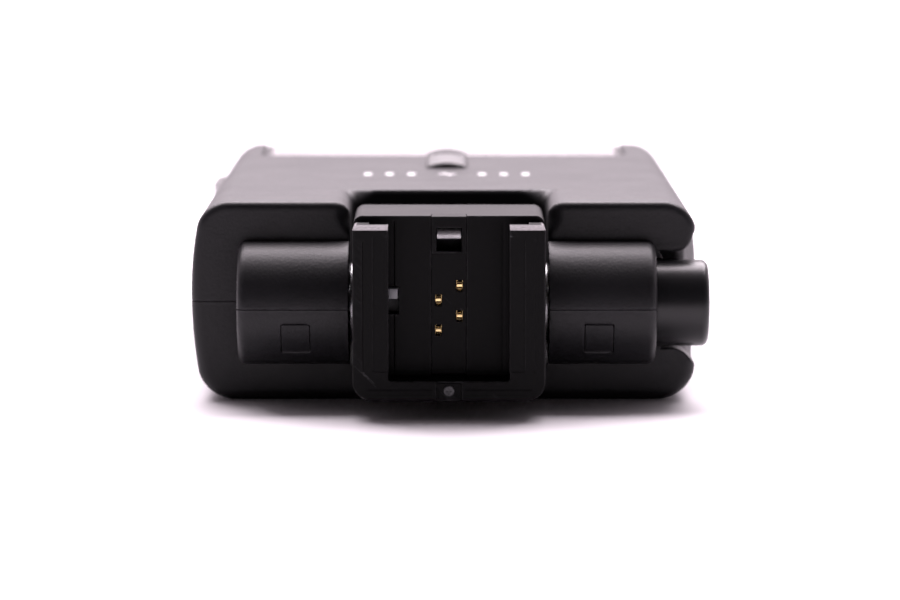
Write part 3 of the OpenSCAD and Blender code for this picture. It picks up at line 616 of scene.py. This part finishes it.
# ------------------------------------------------------------------ zoom thumb piece and bounce selector
def lever_f(x, y, z):
    lx = -0.3
    t = np.clip((y - 58.0) / 5.6, 0, 1)
    crown = 0.75 + 1.25 * np.sin(0.5 * math.pi * t)
    topz = TOP + np.where(y > 63.6, 2.0 - np.maximum(y - 64.6, 0) * 0.8, crown)
    topz = topz - (x - lx) ** 2 * 0.075
    a = (z - topz) * 0.9
    b = rect2(x, y, lx - 2.7, lx + 2.7, 57.2, 66.2, 0.5)
    s = rI(rI(a, b, 0.4), TOP + 0.05 - z, 0.05)
    for i in range(3):
        s = rD(s, np.sqrt((y - 61.4 - 1.3 * i) ** 2 + (z - topz - 0.12) ** 2) - 0.3 + np.maximum(np.abs(x - lx) - 1.7, 0), 0.1)
    stem = box(x, y, z, lx - 0.85, lx + 0.85, 59, 61.7, 9.6, TOP + 0.3, 0.15)
    return mn(s, stem)


piece("zoom_lever_skin", lever_f, (-3.1, 57, 9.5), (2.5, 66.4, 14.3), 0.13, "zoom", ["zoom_lever"], M["lever"])


def knob_f(x, y, z):
    x0 = BX - HW
    ramp = np.clip((y - 71.3) / 8.4, 0, 1)
    out = 0.0 - 1.3 * ramp
    a = (x0 + out - x) * 0.97
    reg = rect2(y, z, 71.3, 89.9, 3.0, 8.2, 0.6)
    s = rI(rI(a, reg, 0.45), x - (x0 + 0.95), 0.1)
    for i in range(5):
        s = rD(s, mx(slab(y, 80.5 + 1.6 * i, 81.2 + 1.6 * i), x - (x0 - 0.85), slab(z, 3.7, 7.5)), 0.15)
    return mn(s, box(x, y, z, x0 + 0.8, -27.55, 82.6, 85.9, 5.0, 6.6, 0.1))


piece("bounce_knob_skin", knob_f, (-32.4, 71.2, 2.9), (-27.4, 90.1, 8.3), 0.16, "bounce", ["bounce_knob"], M["satin"])

# ------------------------------------------------------------------ foot
FX, FT, FB = 11.3, 11.6, -9.7


def foot_prof(x, z, top=FT, bot=FB, rt=1.15, rb=2.1):
    X = np.abs(x)
    return rI(rI(X - FX, z - top, rt), bot - z, rb)


def foot_solid(x, y, z):
    pr = foot_prof(x, z)
    a = rI(pr, slab(y, 0.0, HY - 1), 0.16)
    up = rI(pr, mx(y - (HY + 3.0), 4 - y, -z), 0.35)
    cyl = rI(rod(y, z, HY, 0, 7.3), np.abs(x) - FX, 0.3)
    return rU(mn(a, up), cyl, 0.15)


def foot_cav(x, y, z):
    a = box(x, y, z, -8.4, 8.2, 1.7, HY + 0.5, -4.5, 10.3)
    return mn(a, mx(rod(y, z, HY, 0, 5.8), slab(x, -8.4, 8.2), HY - 2 - y))


def foot_all(x, y, z):
    s = foot_solid(x, y, z)
    s = np.maximum(s, -foot_cav(x, y, z))
    s = rD(s, box(x, y, z, -2.09, 2.09, -1, 1.77, FB + 2.25, 20, 0.1), 0.1)
    s = rD(s, box(x, y, z, -7.27, -5.93, -1, 2, -0.12, 3.17, 0.15), 0.1)
    # shallow shelf lines beside the contact strip
    X = np.abs(x)
    s = rD(s, mx(slab(X, 6.35, 6.5), y - 0.06, slab(z, -7.0, 11.0)), 0.03)
    s = np.maximum(s, -mx(rod(y, z, HY, 0, 2.02), X - 20))
    return s


piece("foot_block_skin", lambda x, y, z: rI(foot_all(x, y, z), y - (HY - 0.02), 0.08), (-11.4, -0.1, -9.8), (11.4, HY, 11.7), 0.15, "foot", ["foot_block"], M["foot"])
piece("foot_rear_cover_skin", lambda x, y, z: rI(foot_all(x, y, z), (HY + 0.03) - y, 0.08), (-11.4, HY, -7.5), (11.4, 17.9, 11.7), 0.17, "foot", ["foot_rear_cover"], M["foot"])


def rail_f(x, y, z):
    X = np.abs(x)
    pr = foot_prof(x, z, 10.85, -9.8, 0.65, 2.2)
    s = rI(pr, slab(y, -4.5, -0.02), 0.2)
    s = rD(s, rI(X - 7.1, -7.45 - z, 0.35), 0.16)
    s = rD(s, mx(X - 9.4, -7.45 - z, -2.6 - y), 0.1)
    # lead-in at the open end
    s = rI(s, (z - 10.3 - (y + 4.5) * 0.55) * 0.876, 0.1)
    # recess and screw hole in the bottom bar
    s = rD(s, box(x, y, z, -1.5, 1.5, -9, -4.12, -20, -7.6, 0.25), 0.08)
    s = np.maximum(s, -mx(rod(x, z, 0, -8.62, 0.66), y + 4.0))
    # stepped inner strip of each rail, and the matching line on the bottom bar
    strip = mx(slab(X, 5.0, 8.9), y + 4.38, slab(z, -6.4, 9.55))
    s = rD(s, strip, 0.05)
    s = rD(s, mx(slab(X, 10.0, 10.12), y + 4.42, slab(z, -6.4, 9.2)), 0.03)
    s = rD(s, mx(slab(z, -8.42, -8.30), y + 4.42, slab(X, 1.9, 9.7)), 0.03)
    return s


piece("rail_frame_skin", rail_f, (-11.4, -4.6, -9.9), (11.4, 0.0, 10.95), 0.12, "foot", ["rail_frame"], M["rail"])

PINS = ((-1.245, 1.6), (-1.245, -2.0), (1.245, 3.3), (1.245, -0.3))


def strip_f(x, y, z):
    low = rI(slab(x, -2.05, 2.05), mx(-0.12 - y, y - 1.7), 0.12)
    s = rI(low, slab(z, -7.3, 11.6), 0.15)
    up = rI(rI(slab(x, -2.05, 2.05), slab(z, 7.15, 11.55), 0.15), mx(-0.36 - y, y - 1.7), 0.12)
    s = mn(s, up)
    for px, pz in PINS:
        s = rD(s, box(x, y, z, px - 0.37, px + 0.37, -2, 3, pz - 0.67, pz + 0.67, 0.12), 0.06)
    s = rD(s, box(x, y, z, -1.5, 1.5, -2, 3, 7.38, 10.2, 0.08), 0.07)
    return s


piece("contact_block_skin", strip_f, (-2.1, -0.5, -7.4), (2.1, 1.8, 11.7), 0.085, "foot", ["contact_block"], M["foot"])


def pins_f(x, y, z):
    s = 1e3
    for px, pz in PINS:
        a = rI(rI(slab(x, px - 0.3, px + 0.3), mx(slab(z, pz - 0.6, pz + 0.6), y - 1.78), 0.12),
               np.where(y < -0.14, np.sqrt((z - pz) ** 2 + (y + 0.14) ** 2) - 0.62, -(y + 0.14) - 0.6), 0.1)
        # the nose is a bowed strip with a shallow waist
        a = np.maximum(a, -(rod(z, y, pz, -1.16, 0.5)))
        s = mn(s, a, box(x, y, z, px - 0.5, px + 0.5, 1.78, 2.3, pz - 0.85, pz + 0.85, 0.05), box(x, y, z, px - 0.3, px + 0.3, 2.2, 3.4, pz - 0.4, pz + 0.4, 0.05))
    return s


piece("contact_pins_skin", pins_f, (-1.8, -0.85, -2.9), (1.8, 3.5, 4.2), 0.05, "contacts", ["contact_pins"], M["gold"])


# ------------------------------------------------------------------ printed mark: a plain bolt between arcs
def mark():
    verts, faces = [], []
    cy, zz, cx = 48.4, TOP + 0.03, -0.3

    def poly(pts):
        b = len(verts)
        verts.extend([(cx + px, cy + py, zz) for px, py in pts])
        faces.append(list(range(b, b + len(pts))))

    poly([(-0.2, 2.2), (-1.3, -0.35), (-0.1, -0.35)])
    poly([(-0.1, -0.35), (0.15, 0.45), (-0.2, 2.2)])
    poly([(0.15, 0.45), (-0.1, -0.35), (0.25, -2.2)])
    poly([(0.25, -2.2), (1.35, 0.45), (0.15, 0.45)])
    for s in (-1, 1):
        for k, r in enumerate((4.2, 7.0, 9.8)):
            half = (22, 14, 10.5)[k]
            inn, outr, nseg = r, r + 0.95, 14
            b = len(verts)
            for i in range(nseg + 1):
                a = math.radians(-half + 2 * half * i / nseg)
                for rr in (inn, outr):
                    verts.append((cx + s * rr * math.cos(a), cy + rr * math.sin(a), zz))
            for i in range(nseg):
                q = [b + 2 * i, b + 2 * i + 1, b + 2 * i + 3, b + 2 * i + 2]
                faces.append(q if s > 0 else q[::-1])
    me = bpy.data.meshes.new("printed_mark")
    me.from_pydata([(a * 0.001, b * 0.001, c * 0.001) for a, b, c in verts], [], faces)
    ob = bpy.data.objects.new("printed_mark", me)
    bpy.context.scene.collection.objects.link(ob)
    so = ob.modifiers.new("thick", "SOLIDIFY")
    so.thickness = 0.00004
    so.offset = -1
    ob.data.materials.append(M["print"])
    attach(ob, "casing")


mark()

# ------------------------------------------------------------------ springs, copied with a wire finish and carried by their bodies
def spring(node, body, mat):
    src = N[node]
    ob = bpy.data.objects.new(node + "_skin", src.data.copy())
    bpy.context.scene.collection.objects.link(ob)
    ob.data.materials.clear()
    ob.data.materials.append(mat)
    for p in ob.data.polygons:
        p.use_smooth = True
    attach(ob, body)
    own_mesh(ob)
    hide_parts(node)


spring("button_spring", "release", M["spring"])
spring("lock_spring", "lock", M["spring"])

# ------------------------------------------------------------------ CAD pieces that stay: finish and small bevels
KEEP = {
    "casing_screws": ("screw", 0.08), "door_hinge_pin": ("steel", 0.06), "door_contact": ("gold", 0.04),
    "battery_cradle": ("frame", 0.15), "battery_cells": ("cell", 0.3), "battery_springs": ("spring", 0), "battery_plates": ("gold", 0.05),
    "control_board": ("pcb", 0.05), "control_chips": ("chip", 0.1), "power_switch": ("chip", 0.12), "shoe_cable": ("cable", 0),
    "main_board": ("pcb", 0.05), "board_parts": ("chip", 0.15), "board_screws": ("steel", 0.1), "flash_capacitor": ("cap", 0.4),
    "inverter_transformer": ("coil", 0.2), "trigger_coil": ("coil", 0.2), "test_switch": ("chip", 0.08), "test_button": ("lamp", 0.15),
    "tilt_pins": ("steel", 0.08), "reflector": ("foil", 0), "flash_tube": ("tube", 0.2), "tube_sleeves": ("sleeve", 0.15),
    "zoom_slide": ("frame", 0.1), "bounce_cam": ("steel", 0.05), "frame_screw": ("screw", 0.05), "contact_carrier": ("pcb", 0.04),
    "contact_leaves": ("gold", 0.02), "hinge_axles": ("steel", 0.08), "hinge_washers": ("steel", 0.04), "detect_switch": ("chip", 0.06),
    "detect_pin": ("pin", 0.09), "lock_tooth": ("tooth", 0.07), "release_rod": ("steel", 0.05),
}
for name, (m, bev) in KEEP.items():
    ob = N[name]
    ob.data.materials.clear()
    ob.data.materials.append(M[m])
    ob.data.set_sharp_from_angle(angle=math.radians(30))
    for p in ob.data.polygons:
        p.use_smooth = True
    if bev:
        wl = ob.modifiers.new("weld", "WELD")
        wl.merge_threshold = 1e-6
        bv = ob.modifiers.new("edge", "BEVEL")
        bv.width = bev * 0.001
        bv.segments = 2
        bv.limit_method = "ANGLE"
        bv.angle_limit = math.radians(35)
        bv.use_clamp_overlap = True
        bv.harden_normals = False

# ------------------------------------------------------------------ floor, light and camera
def floor():
    me = bpy.data.meshes.new("floor")
    s, z = 3.0, -0.01203
    me.from_pydata([(-s, -s, z), (s, -s, z), (s, s, z), (-s, s, z)], [], [(0, 1, 2, 3)])
    ob = bpy.data.objects.new("floor", me)
    bpy.context.scene.collection.objects.link(ob)
    st = Nodes("floor_gloss")
    n = st.noise(0.004, 3, 0.5)
    st.set(Base_Color=st.mix(st.ramp(n, 0.3, 0.7), (0.86, 0.85, 0.87), (0.88, 0.87, 0.885)), Roughness=st.ramp(st.noise(0.02, 3, 0.6), 0.3, 0.7, 0.46, 0.54), IOR=1.5, Specular_IOR_Level=0.2)
    ob.data.materials.append(st.m)


floor()


def area(name, loc, target, size, power, color=(1, 1, 1), shape="RECTANGLE", spread=None):
    d = bpy.data.lights.new(name, "AREA")
    d.shape = shape
    d.size, d.size_y = size
    d.energy = power
    d.color = color
    if spread:
        d.spread = math.radians(spread)
    o = bpy.data.objects.new(name, d)
    o.location = loc
    v = Vector(target) - Vector(loc)
    o.rotation_euler = v.to_track_quat("-Z", "Y").to_euler()
    bpy.context.scene.collection.objects.link(o)
    o.visible_camera = False
    return o


area("back_box", (0, 0.532, 0.745), (0, 0.01, 0), (1.1, 0.66), 27.0, (1.0, 0.90, 0.965))

scene = bpy.context.scene
world = bpy.data.worlds.new("world")
scene.world = world
world.use_nodes = True
wt = world.node_tree
wt.nodes.clear()
out = wt.nodes.new("ShaderNodeOutputWorld")
mixs = wt.nodes.new("ShaderNodeMixShader")
lp = wt.nodes.new("ShaderNodeLightPath")
bg_cam = wt.nodes.new("ShaderNodeBackground")
bg_cam.inputs[0].default_value = (1, 1, 1, 1)
bg_cam.inputs[1].default_value = 1.15
bg = wt.nodes.new("ShaderNodeBackground")
tc = wt.nodes.new("ShaderNodeTexCoord")
sep = wt.nodes.new("ShaderNodeSeparateXYZ")
wt.links.new(tc.outputs["Generated"], sep.inputs[0])
# bright behind the object and overhead, dim on the camera's side
mr = wt.nodes.new("ShaderNodeMapRange")
mr.interpolation_type = "SMOOTHSTEP"
mr.inputs["From Min"].default_value = -0.25
mr.inputs["From Max"].default_value = 0.5
mr.inputs["To Min"].default_value = 0.03
mr.inputs["To Max"].default_value = 1.08
wt.links.new(sep.outputs["Y"], mr.inputs["Value"])


def wmap(src, a, b, lo, hi):
    n = wt.nodes.new("ShaderNodeMapRange")
    n.interpolation_type = "SMOOTHSTEP"
    n.inputs["From Min"].default_value = a
    n.inputs["From Max"].default_value = b
    n.inputs["To Min"].default_value = lo
    n.inputs["To Max"].default_value = hi
    wt.links.new(src, n.inputs["Value"])
    return n.outputs[0]


def wmath(op, a, b=0.0):
    n = wt.nodes.new("ShaderNodeMath")
    n.operation = op
    for i, v in enumerate((a, b)):
        if hasattr(v, "links"):
            wt.links.new(v, n.inputs[i])
        else:
            n.inputs[i].default_value = v
    return n.outputs[0]


rear = wmath("MULTIPLY", wmap(sep.outputs["Y"], 0.6, 0.98, 0.0, 0.8), wmap(sep.outputs["Z"], 0.15, 0.7, 1.0, 0.0))
flank = wmath("MULTIPLY", wmap(wmath("ABSOLUTE", sep.outputs["X"]), 0.45, 0.9, 0.0, 0.12), wmap(sep.outputs["Z"], 0.15, 0.6, 1.0, 0.0))
wt.links.new(wmath("ADD", mr.outputs[0], wmath("ADD", rear, flank)), bg.inputs[1])
bg.inputs[0].default_value = (1.0, 0.87, 0.95, 1)
wt.links.new(lp.outputs["Is Camera Ray"], mixs.inputs[0])
wt.links.new(bg.outputs[0], mixs.inputs[1])
wt.links.new(bg_cam.outputs[0], mixs.inputs[2])
wt.links.new(mixs.outputs[0], out.inputs["Surface"])

cam = bpy.data.cameras.new("camera")
cam.lens = 157.0
cam.sensor_width = 36.0
cam.shift_x = (450 - 449.0) / 900.0
cam.clip_start = 0.01
cam.clip_end = 20
co = bpy.data.objects.new("camera", cam)
HOME = (0.0, -0.4595, 0.0581)
co.location = HOME
co.rotation_euler = (math.radians(90 - 7.01), 0, 0)
scene.collection.objects.link(co)
scene.camera = co
cam.dof.use_dof = True
cam.dof.focus_distance = 0.456
cam.dof.aperture_fstop = 30
# the lens closes when the camera leaves its first place, so other views are sharp
home = bpy.data.objects.new("camera_home", None)
home.location = HOME
scene.collection.objects.link(home)
fc = cam.dof.driver_add("aperture_fstop")
fc.driver.type = "SCRIPTED"
v = fc.driver.variables.new()
v.name = "d"
v.type = "LOC_DIFF"
v.targets[0].id = co
v.targets[1].id = home
fc.driver.expression = "30 + d * 100000"

scene.view_settings.view_transform = "Standard"
scene.view_settings.look = "None"
scene.view_settings.exposure = 0.0

bpy.context.view_layer.update()
